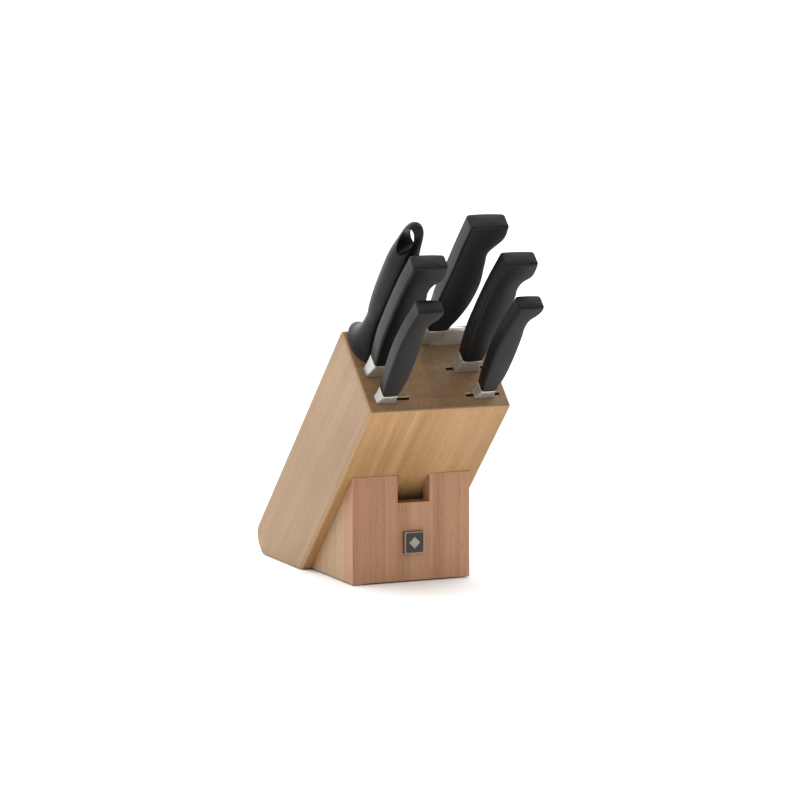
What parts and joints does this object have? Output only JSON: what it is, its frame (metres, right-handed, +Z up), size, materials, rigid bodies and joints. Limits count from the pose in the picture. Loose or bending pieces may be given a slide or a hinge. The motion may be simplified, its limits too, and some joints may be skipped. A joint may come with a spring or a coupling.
{
  "type": "knife block with knives",
  "caption": "Slanted bamboo block on a small stand, holding kitchen knives with black handles and a sharpening steel that pull out along the slant.",
  "frame": {"origin": "on the ground, under the middle of the bounding box", "axes": "+Z up, +X to the right seen from the stand's front, +Y from the knife handles toward the block's heel"},
  "size_m": [0.11, 0.2886, 0.2741],
  "materials": {
    "block_bamboo": "oiled bamboo, grain along the slant",
    "stand_bamboo": "oiled bamboo, vertical strips",
    "dowel_wood": "plain hardwood",
    "badge_plate": "dark plate with a light rim",
    "foot_rubber": "light grey, matte",
    "knife_steel": "satin forged steel",
    "rod_steel": "fine lengthwise ridges",
    "handle_plastic": "fine matte moulded plastic"
  },
  "bodies": {
    "block": {"front_board": "block_bamboo", "front_core_board": "block_bamboo", "rear_core_board": "block_bamboo", "back_board": "block_bamboo", "left_upper_dowel": "dowel_wood", "left_lower_dowel": "dowel_wood", "right_upper_dowel": "dowel_wood", "right_lower_dowel": "dowel_wood", "stand_front_panel": "stand_bamboo", "stand_left_panel": "stand_bamboo", "stand_right_panel": "stand_bamboo", "badge": "badge_plate", "front_left_foot": "foot_rubber", "front_right_foot": "foot_rubber", "rear_left_foot": "foot_rubber", "rear_right_foot": "foot_rubber"},
    "paring_knife": {"paring_knife_blade": "knife_steel", "paring_knife_handle": "handle_plastic"},
    "vegetable_knife": {"vegetable_knife_blade": "knife_steel", "vegetable_knife_handle": "handle_plastic"},
    "carving_knife": {"carving_knife_blade": "knife_steel", "carving_knife_handle": "handle_plastic"},
    "utility_knife": {"utility_knife_blade": "knife_steel", "utility_knife_handle": "handle_plastic"},
    "chef_knife": {"chef_knife_blade": "knife_steel", "chef_knife_handle": "handle_plastic"},
    "steel": {"steel_rod": "rod_steel", "steel_handle": "handle_plastic"}
  },
  "joints": [
    {"name": "paring_knife_slide", "type": "slide", "parent": "block", "child": "paring_knife", "axis": [0, -0.7071, 0.7071], "range_m": [0, 0.115]},
    {"name": "vegetable_knife_slide", "type": "slide", "parent": "block", "child": "vegetable_knife", "axis": [0, -0.7071, 0.7071], "range_m": [0, 0.115]},
    {"name": "carving_knife_slide", "type": "slide", "parent": "block", "child": "carving_knife", "axis": [0, -0.7071, 0.7071], "range_m": [0, 0.215]},
    {"name": "utility_knife_slide", "type": "slide", "parent": "block", "child": "utility_knife", "axis": [0, -0.7071, 0.7071], "range_m": [0, 0.215]},
    {"name": "chef_knife_slide", "type": "slide", "parent": "block", "child": "chef_knife", "axis": [0, -0.7071, 0.7071], "range_m": [0, 0.215]},
    {"name": "steel_slide", "type": "slide", "parent": "block", "child": "steel", "axis": [0, -0.7071, 0.7071], "range_m": [0, 0.24]}
  ]
}
